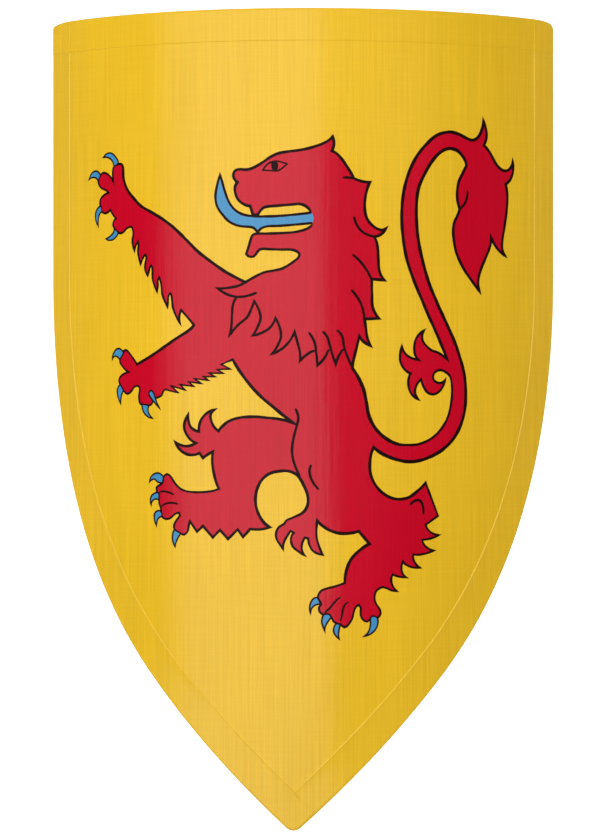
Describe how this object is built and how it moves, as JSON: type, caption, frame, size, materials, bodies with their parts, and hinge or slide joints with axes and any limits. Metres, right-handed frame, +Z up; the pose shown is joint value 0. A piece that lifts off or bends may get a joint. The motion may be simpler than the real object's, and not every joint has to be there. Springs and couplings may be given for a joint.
{
  "type": "heater shield",
  "caption": "Curved wooden heater shield faced with yellow painted canvas and a red rampant lion, bound with cloth, with leather arm straps behind.",
  "frame": {"origin": "middle of the box's underside: the ground that the shield lies on, under the middle of its box", "axes": "the shield lies with its painted front up: +X to the right as the front is seen, +Y towards the top edge, +Z up; its middle line leans down towards the tip by about five and a half degrees, as the loose shield comes to rest"},
  "size_m": [0.5412, 0.8668, 0.1731],
  "materials": {
    "board": "plain birch plywood, lightly oiled on the back",
    "canvas": "canvas painted semi-gloss yellow with a red, black-lined lion with blue claws and tongue",
    "binding": "cloth strip glued round the edge and painted semi-gloss yellow",
    "strap": "brown vegetable-tanned leather, edge burnished",
    "screw": "plain slotted dome-head screws"
  },
  "bodies": {
    "root": {"curved_board": "board", "painted_canvas": "canvas", "edge_binding_top": "binding", "edge_binding_left": "binding", "edge_binding_right": "binding", "forearm_strap": "strap", "hand_strap": "strap", "strap_screw_1": "screw", "strap_screw_2": "screw", "strap_screw_3": "screw", "strap_screw_4": "screw", "strap_screw_5": "screw", "strap_screw_6": "screw", "strap_screw_7": "screw", "strap_screw_8": "screw"}
  },
  "joints": []
}
